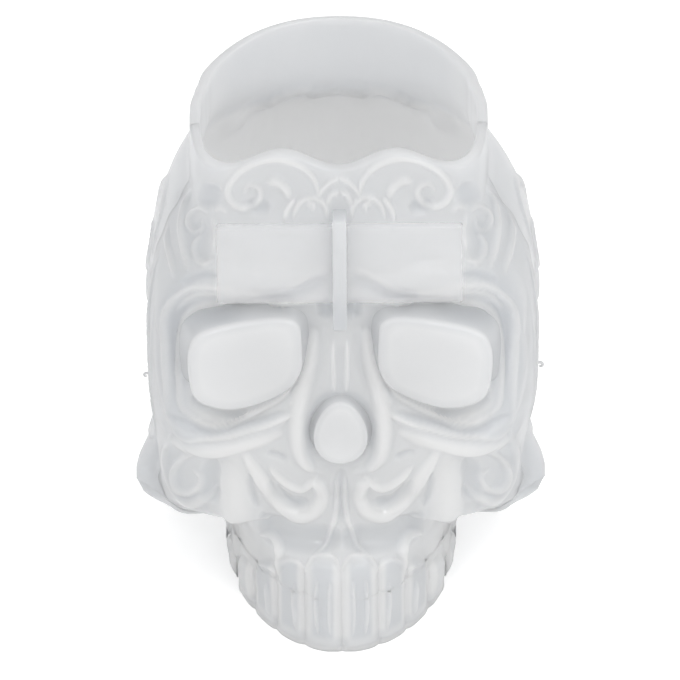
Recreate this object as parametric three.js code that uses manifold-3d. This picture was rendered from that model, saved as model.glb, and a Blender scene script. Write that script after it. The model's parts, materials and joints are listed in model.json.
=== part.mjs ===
/*
A silicone mould for casting an ornamental skull without its lower jaw.

The mould is a soft skin of even wall that follows the skull, open at the crown, where a plain
collar rises around the pour mouth. It stands on its flat base. Both sides are slit from the rim
down to the base, so the face half swings forward about the strip of base that is left uncut.
Four flat-topped feet stand in the eye sockets, in the nose and on the forehead. Their tops share
one plane, so that the mould can also lie face down.

Millimetres, +Z up, the face looks along -Y, and the origin is under the middle of the mould's box.
The skull is drawn with its face and back at their own places, and the finished mould is centred.
*/
import * as THREE from 'three';
import { mergeVertices } from 'three/addons/utils/BufferGeometryUtils.js';
import Module from 'manifold-3d';

const wasm = await Module();
wasm.setup();

// Overall sizes
const HEAD_WIDTH = 100;
const HEAD_DEPTH = 118;
const RIM_HEIGHT = 130;

// Walls, kerf and clearances
const WALL = 3;
const FLOOR = 3;
const KERF = 0.3;
const SEAT_GAP = 0.35;

// Pour mouth: the collar's plan and the two lobes of its front lip
const COLLAR_WIDTH = 76;
const COLLAR_FRONT = 28;
const COLLAR_BACK = 54;
const LOBE_RISE = 5;
const LOBE_PITCH = 31;

// Parting slits, with their wavy cut, and the arch under the base that they end in
const PARTING_Y = -4;
const WAVE_HEIGHT = 0.7;
const WAVE_PITCH = 9;
const ARCH_RISE = 7;
const ARCH_FRONT = -20;
const ARCH_BACK = 12;

// Feet: the plane of their flat tops leans back by FOOT_LEAN from its place at FOOT_PLANE_Z
const FOOT_PLANE_Y = -50;
const FOOT_PLANE_Z = 45;
const FOOT_LEAN = THREE.MathUtils.degToRad(10);
const PLATE_WIDTH = 62.5;
const PLATE_BOTTOM = 98.8;
const PLATE_TOP = 120.5;
const PLATE_THICK = 2.6;
const KEEL_THICK = 2.8;
const KEEL_BOTTOM = 91;
const FOOT_DRAFT = 1.6;

// Hollows of the face
const SOCKET_DEPTH = 9;
const NOSE_DEPTH = 7;
const JAW_HOLLOW = 2.4;

// Upper teeth, from the middle of the jaw to the back, and how far their crowns swell
const TOOTH_WIDTHS = [8.6, 6.6, 7.2, 7, 6.8, 7.4, 8];
const TOOTH_SWELL = 1.5;
const TOOTH_FOOT = 2.4;

// How finely the surfaces are divided: columns round the head, rows from rim to base
const FACE_COLUMNS = 108;
const FACE_CROWDING = 0.6;
const REAR_COLUMNS = 46;
const CAVITY_COLUMNS = 40;
const CAVITY_CROWDING = 0.35;

// The skull is drawn 100 wide, 118 deep and 130 tall, and is stretched to the sizes above
const DRAWN = { width: 100, depth: 118, height: 130, axisY: 15 };
const STRETCH = new THREE.Vector3(
  HEAD_WIDTH / DRAWN.width,
  HEAD_DEPTH / DRAWN.depth,
  RIM_HEIGHT / DRAWN.height,
);

const { lerp, smoothstep, clamp, degToRad } = THREE.MathUtils;

// A smooth curve through [height, value] stations: cubic pieces whose slope at a station is the
// harmonic mean of the slopes beside it, so the curve never swings past its stations.
function profile(stations) {
  const rise = (k) => (stations[k + 1][1] - stations[k][1]) / (stations[k + 1][0] - stations[k][0]);
  const last = stations.length - 1;
  const slopes = stations.map((_, k) => {
    if (k === 0 || k === last) return rise(Math.min(k, last - 1));
    const before = rise(k - 1);
    const after = rise(k);
    return before * after <= 0 ? 0 : (2 * before * after) / (before + after);
  });
  return (height) => {
    const z = clamp(height, stations[0][0], stations[last][0]);
    let k = 0;
    while (k < last - 1 && z > stations[k + 1][0]) k += 1;
    const span = stations[k + 1][0] - stations[k][0];
    const u = (z - stations[k][0]) / span;
    const v = 1 - u;
    return v * v * (1 + 2 * u) * stations[k][1]
      + u * u * (1 + 2 * v) * stations[k + 1][1]
      + u * v * span * (v * slopes[k] - u * slopes[k + 1]);
  };
}

// Half width of the face half: dental arch, cheekbones, temples, crown
const faceHalfWidth = profile([
  [0, 29.5], [10, 30.6], [15, 31.6], [18, 33.6], [20.5, 40], [23, 45.5], [28, 48.2], [40, 48.7],
  [56, 49.6], [76, 50], [90, 48.3], [101, 44.6], [110, 40], [118, 35.5], [124, 31], [130, 24], [136, 12],
]);

// Half width of the rear half, with the swelling behind the ears low down
const rearHalfWidth = profile([
  [0, 30], [6, 31], [9.5, 36], [12, 46.5], [14.5, 52.6], [17, 53.4], [20, 52], [24, 49], [28, 47.8],
  [36, 48], [50, 49.4], [76, 50], [90, 48.3], [101, 44.6], [110, 40], [118, 35.5], [124, 31],
  [130, 24], [136, 12],
]);

// The middle line of the face and of the back of the head, seen from the side
const faceLine = profile([
  [0, -48], [20, -47], [28, -44.5], [36, -42.5], [46, -43], [56, -45], [70, -43.6], [80, -40],
  [90, -37], [98, -36.6], [106, -35.2], [114, -33], [122, -30.2], [128, -27.5], [136, -12],
]);
const backLine = profile([
  [0, 46], [8, 54], [20, 61], [40, 67], [60, 69.5], [76, 69.5], [90, 66.5], [100, 62],
  [108, 56.5], [116, 48], [124, 37], [130, 27], [136, 16],
]);

// How square the front of each level cut is: 2 is an ellipse, more is squarer
const faceSquareness = profile([
  [0, 2], [20, 2.1], [30, 2.7], [46, 3.4], [62, 4.2], [92, 4.2], [104, 3.6], [122, 2.6],
]);
const REAR_SQUARENESS = 2.2;
const COLLAR_FRONT_SQUARENESS = 7;
const COLLAR_SIDE_SQUARENESS = 1.38;
const COLLAR_BACK_SQUARENESS = 2.1;

// Distance from the axis to a squared oval, in the direction that is turn radians from the front
function ovalRadius(turn, halfWidth, reach, squareness) {
  const across = Math.abs(Math.sin(turn) / halfWidth) ** squareness;
  const along = Math.abs(Math.cos(turn) / reach) ** squareness;
  return (across + along) ** (-1 / squareness);
}

// The slit's direction from the axis, and the width of the blend from face to rear around it
const SLIT_TURN = degToRad(68);
const SLIT_BLEND = degToRad(9);
const VALLEY_WIDTH = degToRad(5);
const VALLEY_DEPTH = 2;

// The bare skull at one height, before the collar and the face's hollows
function skullRadius(turn, z) {
  const side = Math.abs(turn);
  const rearShare = smoothstep(side, SLIT_TURN - SLIT_BLEND, SLIT_TURN + SLIT_BLEND);
  const halfWidth = lerp(faceHalfWidth(z), rearHalfWidth(z), rearShare);
  const front = Math.cos(turn) > 0;
  const reach = front ? DRAWN.axisY - faceLine(z) : backLine(z) - DRAWN.axisY;
  const squareness = front ? faceSquareness(z) : REAR_SQUARENESS;
  const valley = VALLEY_DEPTH * Math.exp(-(((side - SLIT_TURN) / VALLEY_WIDTH) ** 2))
    * smoothstep(z, 8, 16) * (1 - smoothstep(z, 32, 50));
  return ovalRadius(turn, halfWidth, reach, squareness) - valley;
}

// The collar's straight wall, a little narrower in front of the slits
const COLLAR_STEP = 1.2;
function collarRadius(turn) {
  const side = Math.abs(turn);
  const halfWidth = COLLAR_WIDTH / 2 - COLLAR_STEP * (1 - smoothstep(side, SLIT_TURN - 0.12, SLIT_TURN));
  if (Math.cos(turn) > 0) {
    return ovalRadius(turn, halfWidth, DRAWN.axisY + COLLAR_FRONT, COLLAR_FRONT_SQUARENESS);
  }
  const behind = side / (Math.PI / 2) - 1;
  const squareness = lerp(COLLAR_SIDE_SQUARENESS, COLLAR_BACK_SQUARENESS, behind);
  return ovalRadius(turn, halfWidth, COLLAR_BACK - DRAWN.axisY, squareness);
}

// The larger of two radii, rounded where they cross
const JOIN_ROUNDING = 2.5;
function roundedMax(a, b) {
  const near = Math.max(JOIN_ROUNDING - Math.abs(a - b), 0) / JOIN_ROUNDING;
  return Math.max(a, b) + (near * near * JOIN_ROUNDING) / 4;
}

// The collar stands on the crown, and sinks into it below COLLAR_FOOT
const COLLAR_FOOT = 106;
function bodyRadius(turn, z) {
  const sunk = 12 * (1 - smoothstep(z, COLLAR_FOOT - 6, COLLAR_FOOT));
  return roundedMax(skullRadius(turn, z), collarRadius(turn) - sunk);
}

// The inner wall: the outer profile rolled inwards by a circle of the wall's radius
function cavityRadius(turn, z) {
  let radius = Infinity;
  for (let step = -3; step <= 3; step += 1) {
    const dz = (step / 3) * WALL;
    const inset = Math.sqrt(WALL * WALL - dz * dz);
    radius = Math.min(radius, bodyRadius(turn, z + dz) - inset);
  }
  return radius;
}

// Eye socket: 1 inside, 0 outside, with its lower edge falling away from the nose
function socketShare(x, z, spread) {
  const out = Math.abs(x);
  const middle = 86 - 0.4 * (out - 12);
  const half = 10 + 0.37 * (out - 12) + spread;
  const across = (out - 25.2) / (14 + spread);
  const up = (z - middle) / half;
  return 1 - smoothstep(across ** 4 + up ** 4, 0.3, 1.2);
}

// Nose opening: an egg, narrower at the top
function noseShare(x, z, spread) {
  const up = (z - 62.5) / (9.6 + spread);
  const across = x / ((8.4 + spread) * (1 - 0.16 * up));
  return 1 - smoothstep(across * across + up * up, 0.45, 1.2);
}

// The hollow of the jaw between the cheeks' columns, over the teeth
function jawShare(x, z) {
  return (1 - smoothstep(Math.abs(x), 17, 24)) * smoothstep(z, 24, 30) * (1 - smoothstep(z, 40, 47));
}

// Raised bands of the face, each a smooth line of [x, z] points with its half width and height.
// They are drawn on one side and mirrored.
const bands = [
  { name: 'brow', half: 4.4, height: 2.2, line: [[0, 97], [9, 99.5], [20, 102], [31, 100.5], [39, 96], [43.5, 88], [45, 79]] },
  { name: 'orbit', half: 3.6, height: 2, line: [[44.5, 84], [44.5, 70], [41, 60], [34, 56], [25, 60], [16, 67], [11, 74]] },
  { name: 'nose side', half: 3, height: 1.6, line: [[4.6, 88], [6.6, 80], [9.8, 71], [11, 62], [9.4, 54], [4, 50]] },
  { name: 'moustache scroll', half: 3.2, height: 2.2, line: [[23, 53], [20.5, 45], [16, 38.5], [10, 36], [5.4, 40], [6, 46]] },
  { name: 'jaw column', half: 4, height: 1.6, line: [[29, 52], [28, 42], [27, 31]] },
  { name: 'cheek', half: 4, height: 1.8, line: [[45, 54], [44, 44], [41, 35], [35, 32]] },
];
const BAND_STEPS = 28;
for (const band of bands) {
  const points = band.line.map(([x, z]) => new THREE.Vector2(x, z));
  band.points = new THREE.SplineCurve(points).getPoints(BAND_STEPS);
}

function distanceToLine(x, z, points) {
  let nearest = Infinity;
  for (let k = 1; k < points.length; k += 1) {
    const from = points[k - 1];
    const dx = points[k].x - from.x;
    const dz = points[k].y - from.y;
    const along = clamp(((x - from.x) * dx + (z - from.y) * dz) / (dx * dx + dz * dz), 0, 1);
    nearest = Math.min(nearest, Math.hypot(x - from.x - along * dx, z - from.y - along * dz));
  }
  return nearest;
}

// How much wider a hollow is on the inside of the skin than on the outside
const HOLLOW_SPREAD = 0.8 * WALL;

function bandRise(x, z) {
  let rise = 0;
  for (const band of bands) {
    const share = 1 - distanceToLine(Math.abs(x), z, band.points) / band.half;
    if (share > 0) rise = Math.max(rise, band.height * smoothstep(share, 0, 0.9));
  }
  return rise;
}

// The share of the face's relief, which ends before the slits
const RELIEF_END = degToRad(62);
const reliefShare = (turn) => 1 - smoothstep(Math.abs(turn), RELIEF_END - degToRad(10), RELIEF_END);

// How far the hollows move the surface back along +Y, with their walls spread outwards
function hollowDepth(turn, x, z, spread) {
  const socketDepth = SOCKET_DEPTH * (1 - 0.4 * smoothstep(Math.abs(x), 24, 40));
  return reliefShare(turn) * (socketDepth * socketShare(x, z, spread)
    + NOSE_DEPTH * noseShare(x, z, spread) + JAW_HOLLOW * jawShare(x, z));
}

// Arc length along the dental arch for each direction from the axis, at half a crown's height
const ARCH_LEVEL = 10;
const ARCH_STEPS = 120;
const archLengths = [0];
for (let k = 1; k <= ARCH_STEPS; k += 1) {
  const before = ((k - 1) / ARCH_STEPS) * (Math.PI / 2);
  const here = (k / ARCH_STEPS) * (Math.PI / 2);
  const r0 = skullRadius(before, ARCH_LEVEL);
  const r1 = skullRadius(here, ARCH_LEVEL);
  archLengths.push(archLengths[k - 1] + Math.hypot(r1 - r0, ((r0 + r1) / 2) * (here - before)));
}
const archLength = (turn) => {
  const place = (Math.min(Math.abs(turn), Math.PI / 2) / (Math.PI / 2)) * ARCH_STEPS;
  const k = Math.min(Math.floor(place), ARCH_STEPS - 1);
  return lerp(archLengths[k], archLengths[k + 1], place - k);
};

// The crowns: each tooth swells between its neighbours, up to a gum line that arches over it
function toothSwell(turn, y, z) {
  let start = 0;
  const length = archLength(turn);
  for (const width of TOOTH_WIDTHS) {
    if (length < start + width) {
      const across = (length - start) / (width / 2) - 1;
      const gum = lerp(11, 26.5, smoothstep(-y, 16, 50)) - 2.5 * across * across;
      const crown = smoothstep(z, TOOTH_FOOT - 0.8, TOOTH_FOOT + 1.2) * (1 - smoothstep(z, gum - 2, gum + 0.6));
      return TOOTH_SWELL * crown * (1 - across ** 4);
    }
    start += width;
  }
  return 0;
}

// The rim, with the two lobes of the front lip
function rimHeight(turn) {
  const x = collarRadius(turn) * Math.sin(turn);
  const front = smoothstep(Math.cos(turn), 0.3, 0.7);
  const lobe = Math.abs(x) < LOBE_PITCH ? Math.sin((Math.PI * x) / LOBE_PITCH) ** 2 : 0;
  return DRAWN.height + LOBE_RISE * lobe * front;
}

function place(turn, radius, z, relief) {
  const x = radius * Math.sin(turn);
  const y = DRAWN.axisY - radius * Math.cos(turn) + relief;
  return new THREE.Vector3(x, y, z).multiply(STRETCH);
}

// Outer skin at a level between the base and the rim. The levels near the rim follow the lip.
const LIP_FOOT = 112;
function skinPoint(turn, level) {
  const lip = Math.max(level - LIP_FOOT, 0) / (DRAWN.height - LIP_FOOT);
  const z = level + lip * (rimHeight(turn) - DRAWN.height);
  const radius = bodyRadius(turn, z);
  const x = radius * Math.sin(turn);
  const y = DRAWN.axisY - radius * Math.cos(turn);
  const swell = toothSwell(turn, y, z) + reliefShare(turn) * bandRise(x, z);
  return place(turn, radius + swell, z, hollowDepth(turn, x, z, 0));
}

function cavityPoint(turn, level) {
  const radius = cavityRadius(turn, level);
  return place(turn, radius, level, hollowDepth(turn, radius * Math.sin(turn), level, HOLLOW_SPREAD));
}

// Columns round the axis, counted from the back, closer together at the face where crowd is above 0
function columnTurns(count, crowd) {
  return Array.from({ length: count }, (_, k) => {
    const even = -Math.PI + ((k + 0.5) / count) * 2 * Math.PI;
    return even - crowd * Math.sin(even);
  });
}

// A closed skin from rings of points: a cap to a centre point at each end, quads between rings
function skinGeometry(rings) {
  const columns = rings[0].length;
  const centres = [rings[0], rings[rings.length - 1]].map((ring) => {
    const middle = ring.reduce((sum, point) => sum.add(point), new THREE.Vector3());
    return middle.divideScalar(columns);
  });
  const points = [centres[0], ...rings.flat(), centres[1]];
  const at = (row, column) => 1 + row * columns + (column % columns);
  const faces = [];
  for (let column = 0; column < columns; column += 1) {
    faces.push(0, at(0, column), at(0, column + 1));
    faces.push(points.length - 1, at(rings.length - 1, column + 1), at(rings.length - 1, column));
    for (let row = 0; row < rings.length - 1; row += 1) {
      const a = at(row, column);
      const b = at(row, column + 1);
      const c = at(row + 1, column + 1);
      const d = at(row + 1, column);
      faces.push(a, d, c, a, c, b);
    }
  }
  const geometry = new THREE.BufferGeometry().setFromPoints(points);
  geometry.setIndex(faces);
  return geometry;
}

// Solids for cutting and joining
function solidOf(source) {
  const geometry = source.clone();
  geometry.deleteAttribute('normal');
  geometry.deleteAttribute('uv');
  const merged = mergeVertices(geometry, 1e-4);
  const index = merged.index ?? { array: [...Array(merged.attributes.position.count).keys()] };
  return new wasm.Manifold(new wasm.Mesh({
    numProp: 3,
    vertProperties: new Float32Array(merged.attributes.position.array),
    triVerts: new Uint32Array(index.array),
  }));
}

function geometryOf(solid) {
  const mesh = solid.getMesh();
  const geometry = new THREE.BufferGeometry();
  geometry.setAttribute('position', new THREE.BufferAttribute(mesh.vertProperties, 3));
  geometry.setIndex(new THREE.BufferAttribute(mesh.triVerts, 1));
  geometry.computeVertexNormals();
  return geometry;
}

// Heights of the rows from the rim down, even between each pair of stops
function rowLevels(stops) {
  return stops.flatMap(([from, to, count]) => (
    Array.from({ length: count }, (_, k) => lerp(from, to, k / count))
  ));
}
const faceLevels = [...rowLevels([[130, 104, 8], [104, 26, 40], [26, 2.4, 8], [2.4, 0, 2]]), 0];
const rearLevels = [...rowLevels([[130, 112, 3], [112, 30, 12], [30, 0, 8]]), 0];
const cavityLevels = [...rowLevels([[130, 108, 3], [108, 50, 12], [50, FLOOR, 8]]), FLOOR];
const MOUTH_CLEARANCE = 12;

function outerSolid(columns, crowd, levels) {
  const turns = columnTurns(columns, crowd);
  const rings = levels.map((level) => turns.map((turn) => skinPoint(turn, level)));
  return solidOf(skinGeometry(rings)).subtract(archSolid(0));
}

function cavitySolid() {
  const turns = columnTurns(CAVITY_COLUMNS, CAVITY_CROWDING);
  const open = turns.map((turn) => cavityPoint(turn, DRAWN.height + MOUTH_CLEARANCE));
  const rings = [open, ...cavityLevels.map((level) => turns.map((turn) => cavityPoint(turn, level)))];
  return solidOf(skinGeometry(rings)).subtract(archSolid(FLOOR));
}

// An outline drawn in Y and Z, run along X right through the head
const CUT_REACH = 200;
function acrossSolid(shape) {
  const geometry = new THREE.ExtrudeGeometry(shape, {
    depth: CUT_REACH, bevelEnabled: false, curveSegments: 6,
  });
  geometry.translate(0, 0, -CUT_REACH / 2);
  geometry.applyMatrix4(new THREE.Matrix4().makeBasis(
    new THREE.Vector3(0, 1, 0), new THREE.Vector3(0, 0, 1), new THREE.Vector3(1, 0, 0),
  ));
  return solidOf(geometry);
}

// The arch under the base, between the teeth and the back of the head, grown by the floor's
// thickness where it lifts the floor inside
function archSolid(grow) {
  const rise = ARCH_RISE * STRETCH.z + grow;
  const front = ARCH_FRONT * STRETCH.y - grow;
  const back = ARCH_BACK * STRETCH.y + grow;
  const shoulder = (back - front) * 0.3;
  const shape = new THREE.Shape();
  shape.moveTo(front, -CUT_REACH / 20);
  shape.lineTo(back, -CUT_REACH / 20);
  shape.lineTo(back, 0);
  shape.bezierCurveTo(back - shoulder / 2, 0, back - shoulder / 2, rise, back - shoulder, rise);
  shape.lineTo(front + shoulder, rise);
  shape.bezierCurveTo(front + shoulder / 2, rise, front + shoulder / 2, 0, front, 0);
  return acrossSolid(shape);
}

// One side of the parting: everything in front of, or behind, the wavy cut
function partingSolid(side) {
  const straightTo = (ARCH_RISE + 8) * STRETCH.z;
  const top = (DRAWN.height + MOUTH_CLEARANCE) * STRETCH.z;
  const shift = PARTING_Y * STRETCH.y + (side * KERF) / 2;
  const outline = [[shift, -20], [shift, straightTo]];
  const half = WAVE_PITCH / 2;
  for (let k = 0; straightTo + (k + 1) * half < top; k += 1) {
    outline.push([shift + (k % 2 ? -1 : 1) * WAVE_HEIGHT, straightTo + (k + 1) * half]);
  }
  outline.push([shift, top], [side * CUT_REACH, top], [side * CUT_REACH, -20]);
  return acrossSolid(new THREE.Shape(outline.map(([y, z]) => new THREE.Vector2(y, z))));
}

// Feet
const footPlaneY = (z) => FOOT_PLANE_Y * STRETCH.y + (z - FOOT_PLANE_Z * STRETCH.z) * Math.tan(FOOT_LEAN);
const FOOT_ROOT = 24;

// A foot with a flat top in the plane of the feet, wider by the draft at its root inside the face
function draftedFoot(outline) {
  const middle = outline.reduce((sum, p) => sum.add(p), new THREE.Vector2()).divideScalar(outline.length);
  const ring = (deep, spread) => outline.map((point) => {
    const away = point.clone().sub(middle);
    const moved = point.clone().addScaledVector(away.normalize(), spread);
    const x = moved.x * STRETCH.x;
    const z = moved.y * STRETCH.z;
    return new THREE.Vector3(x, footPlaneY(z) + deep, z);
  });
  return solidOf(skinGeometry([ring(0, 0), ring(FOOT_ROOT, FOOT_DRAFT)]));
}

// The eye foot's outline on the right of the face, as [x, z] points joined by a smooth curve
const eyeFootLine = [
  [10.8, 87], [12.6, 93], [18, 95], [28, 93.2], [36, 91], [38.2, 86], [38.2, 79], [36.4, 73],
  [32, 70], [26, 69.6], [19, 71.8], [13, 75.4], [10.8, 80],
];
function eyeFoot(side) {
  const points = eyeFootLine.map(([x, z]) => new THREE.Vector3(x * side, z, 0));
  const curve = new THREE.CatmullRomCurve3(points, true, 'centripetal');
  const ring = curve.getPoints(44).slice(0, -1).map((point) => new THREE.Vector2(point.x, point.y));
  return draftedFoot(side > 0 ? ring.reverse() : ring);
}

// The nose foot's outline: an egg, narrower at the top
const NOSE_FOOT = { z: 63.2, halfWidth: 6.8, halfHeight: 8.2, taper: 0.16, steps: 32 };
function noseFoot() {
  const ring = Array.from({ length: NOSE_FOOT.steps }, (_, k) => {
    const angle = (2 * Math.PI * k) / NOSE_FOOT.steps;
    const up = Math.sin(angle);
    const x = NOSE_FOOT.halfWidth * Math.cos(angle) * (1 - NOSE_FOOT.taper * up);
    return new THREE.Vector2(x, NOSE_FOOT.z + NOSE_FOOT.halfHeight * up);
  });
  return draftedFoot(ring);
}

// The forehead foot: a plate in the plane of the feet on a keel down to the root of the nose
function foreheadFoot() {
  const upright = (width, bottom, top, deep, back) => {
    const box = new THREE.BoxGeometry(width, deep, top - bottom);
    box.translate(0, back + deep / 2, (top + bottom) / 2 - FOOT_PLANE_Z * STRETCH.z);
    box.rotateX(-FOOT_LEAN);
    box.translate(0, FOOT_PLANE_Y * STRETCH.y, FOOT_PLANE_Z * STRETCH.z);
    return solidOf(box);
  };
  // Heights along the leaning plane, for the heights above the base
  const along = (z) => FOOT_PLANE_Z * STRETCH.z + (z - FOOT_PLANE_Z) * STRETCH.z / Math.cos(FOOT_LEAN);
  const plate = upright(PLATE_WIDTH * STRETCH.x, along(PLATE_BOTTOM), along(PLATE_TOP), PLATE_THICK, 0);
  const keel = upright(KEEL_THICK, along(KEEL_BOTTOM), along(PLATE_TOP), FOOT_ROOT, 0);
  return plate.add(keel);
}

// Assembly
const faceOuter = outerSolid(FACE_COLUMNS, FACE_CROWDING, faceLevels);
const rearOuter = outerSolid(REAR_COLUMNS, 0, rearLevels);
const cavity = cavitySolid();
const faceShell = faceOuter.intersect(partingSolid(-1)).subtract(cavity);
const rearShell = rearOuter.intersect(partingSolid(1)).subtract(cavity);
const seat = faceOuter.translate([0, -SEAT_GAP, 0]);

function silicone(color, roughness) {
  return new THREE.MeshStandardMaterial({
    color, roughness, metalness: 0, transparent: true, opacity: 0.85,
  });
}

function piece(name, solid, material) {
  const mesh = new THREE.Mesh(geometryOf(solid), material);
  mesh.name = name;
  return mesh;
}

const skin = silicone(0xe2e4e6, 0.42);
const block = silicone(0xeeeff0, 0.5);

const faceHalf = new THREE.Group();
faceHalf.add(
  piece('face_shell', faceShell, skin),
  piece('left_eye_foot', eyeFoot(1).subtract(seat), block),
  piece('right_eye_foot', eyeFoot(-1).subtract(seat), block.clone()),
  piece('nose_foot', noseFoot().subtract(seat), block.clone()),
  piece('forehead_foot', foreheadFoot().subtract(seat), block.clone()),
);
const rearHalf = new THREE.Group();
rearHalf.add(piece('rear_shell', rearShell, skin.clone()));

const mould = new THREE.Group();
mould.add(faceHalf, rearHalf);
const box = new THREE.Box3().setFromObject(mould);
mould.position.y = -(box.min.y + box.max.y) / 2;

export default mould;
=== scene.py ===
import json
import math
import bmesh
import bpy
import numpy as np
from mathutils import Matrix, Vector


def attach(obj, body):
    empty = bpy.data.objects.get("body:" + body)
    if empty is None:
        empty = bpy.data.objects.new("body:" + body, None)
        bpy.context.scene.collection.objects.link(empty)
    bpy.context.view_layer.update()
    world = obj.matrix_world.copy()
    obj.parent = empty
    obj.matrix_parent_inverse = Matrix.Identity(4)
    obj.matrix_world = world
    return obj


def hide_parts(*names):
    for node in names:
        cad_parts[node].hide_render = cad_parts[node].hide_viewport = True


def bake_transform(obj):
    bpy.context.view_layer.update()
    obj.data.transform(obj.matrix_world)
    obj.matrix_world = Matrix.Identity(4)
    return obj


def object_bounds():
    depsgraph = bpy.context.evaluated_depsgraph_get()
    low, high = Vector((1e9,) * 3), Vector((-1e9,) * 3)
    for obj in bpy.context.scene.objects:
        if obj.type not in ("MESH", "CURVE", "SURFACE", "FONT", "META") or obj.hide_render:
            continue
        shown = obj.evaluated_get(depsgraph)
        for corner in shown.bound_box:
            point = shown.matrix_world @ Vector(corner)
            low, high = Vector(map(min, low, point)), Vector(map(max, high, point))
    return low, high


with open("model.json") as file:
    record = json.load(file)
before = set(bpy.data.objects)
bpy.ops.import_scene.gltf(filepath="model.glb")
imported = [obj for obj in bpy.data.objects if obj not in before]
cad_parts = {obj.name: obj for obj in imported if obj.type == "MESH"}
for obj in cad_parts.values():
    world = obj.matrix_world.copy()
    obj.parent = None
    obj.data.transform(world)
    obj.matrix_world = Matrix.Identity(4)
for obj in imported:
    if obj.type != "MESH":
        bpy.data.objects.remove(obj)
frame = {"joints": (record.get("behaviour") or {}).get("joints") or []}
cad_low, cad_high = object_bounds()

# Camera
# A long lens from the front and 30 degrees above, aimed at the middle of the head.
ELEVATION = math.radians(30)
PICTURE_WIDTH = 0.1752
CAMERA_DISTANCE = 3.4
CAMERA_ROLL = math.radians(-0.35)
AIM = np.array([0.0, 0.0, 0.0579])

TOWARDS_CAMERA = np.array([0.0, -math.cos(ELEVATION), math.sin(ELEVATION)])
camera_data = bpy.data.cameras.new("camera")
camera_data.sensor_width = 36
camera_data.lens = camera_data.sensor_width * CAMERA_DISTANCE / PICTURE_WIDTH
camera = bpy.data.objects.new("camera", camera_data)
camera.location = AIM + CAMERA_DISTANCE * TOWARDS_CAMERA
tilt = Matrix.Rotation(math.pi / 2 - ELEVATION, 3, "X") @ Matrix.Rotation(CAMERA_ROLL, 3, "Z")
camera.rotation_euler = tilt.to_euler()
bpy.context.scene.collection.objects.link(camera)
bpy.context.scene.camera = camera

# Face half: the skin
# One casting of soft, milky silicone about 3 mm thick that follows a skull without its lower jaw,
# with scroll relief, teeth and the front of the plain collar that the mould is filled through.
# A wavy slit on each side parts it from the rear half, down to the uncut strip under the base.
MM = 0.001
WALL = 3.0
FLOOR = 3.0
RIM_HEIGHT = 130.0

# The mould is drawn in millimetres and radians, up from the table and round an upright axis at
# AXIS_Y, and is then moved in y so that its parting lies on the frame's hinge.
AXIS_Y = 15.0
PARTING_Y = -4.0
DRAWN_TO_FRAME_Y = frame["joints"][0]["pos_m"][1] / MM - PARTING_Y


def smooth_curve(stations):
    """A smooth function through (position, value) stations: cubic pieces whose slope at a station
    is the harmonic mean of the slopes on its two sides, so it never swings past the stations."""
    at, value = np.array(stations, float).T
    rise = np.diff(value) / np.diff(at)
    product = rise[:-1] * rise[1:]
    total = rise[:-1] + rise[1:]
    inner = np.where(product > 0, 2 * product / np.where(total == 0, 1, total), 0)
    slope = np.concatenate([rise[:1], inner, rise[-1:]])

    def curve(position):
        p = np.clip(position, at[0], at[-1])
        k = np.clip(np.searchsorted(at, p, side="right") - 1, 0, len(at) - 2)
        span = at[k + 1] - at[k]
        u = (p - at[k]) / span
        v = 1 - u
        ends = v * v * (1 + 2 * u) * value[k] + u * u * (1 + 2 * v) * value[k + 1]
        return ends + u * v * span * (v * slope[k] - u * slope[k + 1])

    return curve


def step(x, low, high):
    """0 below low, 1 above high, and 3t^2 - 2t^3 between them."""
    t = np.clip((x - low) / (high - low), 0, 1)
    return t * t * (3 - 2 * t)


def mix(a, b, share):
    """a where share is 0, b where it is 1."""
    return a + (b - a) * share


# The skull's profiles as (height, value) stations: the half widths of its face and of its back,
# which share the crown's, the swelling of the ears, the middle lines of the face and of the back,
# and how square the level cuts of the face are.
CROWN_HALF_WIDTHS = [
    (76, 50), (90, 48.3), (101, 44.6), (110, 40), (118, 35.5), (124, 31), (130, 24), (136, 12),
]
face_half_width = smooth_curve([
    (0, 29.5), (7, 30.6), (10.2, 31.8), (11.4, 35.5), (12, 39.6), (12.8, 42.2), (15.5, 45.4), (20, 47.4),
    (26, 48.3), (40, 48.7), (56, 49.6),
] + CROWN_HALF_WIDTHS)
rear_half_width = smooth_curve([
    (0, 29.4), (9, 30.3), (11, 33), (12.6, 37.5), (14.4, 42.5), (16.6, 46), (19.6, 47.7), (28, 47.8),
    (36, 48), (50, 49.4),
] + CROWN_HALF_WIDTHS)
ear_swell = smooth_curve([
    (0, 0), (8, 0), (12, 2), (15.6, 4.6), (20.5, 5.8), (25, 4.9), (29, 2.8), (33, 0.9), (37, 0.2), (42, 0),
])
face_line = smooth_curve([
    (0, -48), (20, -47), (28, -44.5), (36, -42.5), (46, -43), (56, -45), (70, -43.6), (80, -40),
    (90, -37), (98, -36.6), (106, -35.2), (114, -33), (122, -30.2), (128, -27.5), (136, -12),
])
back_line = smooth_curve([
    (0, 46), (8, 54), (20, 61), (40, 67), (60, 69.5), (76, 69.5), (90, 66.5), (100, 62),
    (108, 56.5), (116, 48), (124, 37), (130, 27), (136, 16),
])
face_squareness = smooth_curve([
    (0, 2), (20, 2.1), (30, 2.7), (46, 3.4), (62, 4.2), (92, 4.2), (104, 3.6), (122, 2.6),
])
REAR_SQUARENESS = 2.2
SLIT_TURN = math.radians(68)
SLIT_BLEND = math.radians(9)
VALLEY_DEPTH = 2.0
VALLEY_WIDTH = math.radians(5)
VALLEY_STARTS, VALLEY_ENDS = (8, 16), (32, 50)
EAR_TURN = math.radians(79)
EAR_WIDTH = math.radians(13)
LEAN = 0.8
LEAN_STARTS, LEAN_ENDS = (34, 56), (94, 112)
CHEEK_OVAL = (48.7, 58.0, 2.7)
CHEEK_ENDS = (40, 62)


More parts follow.
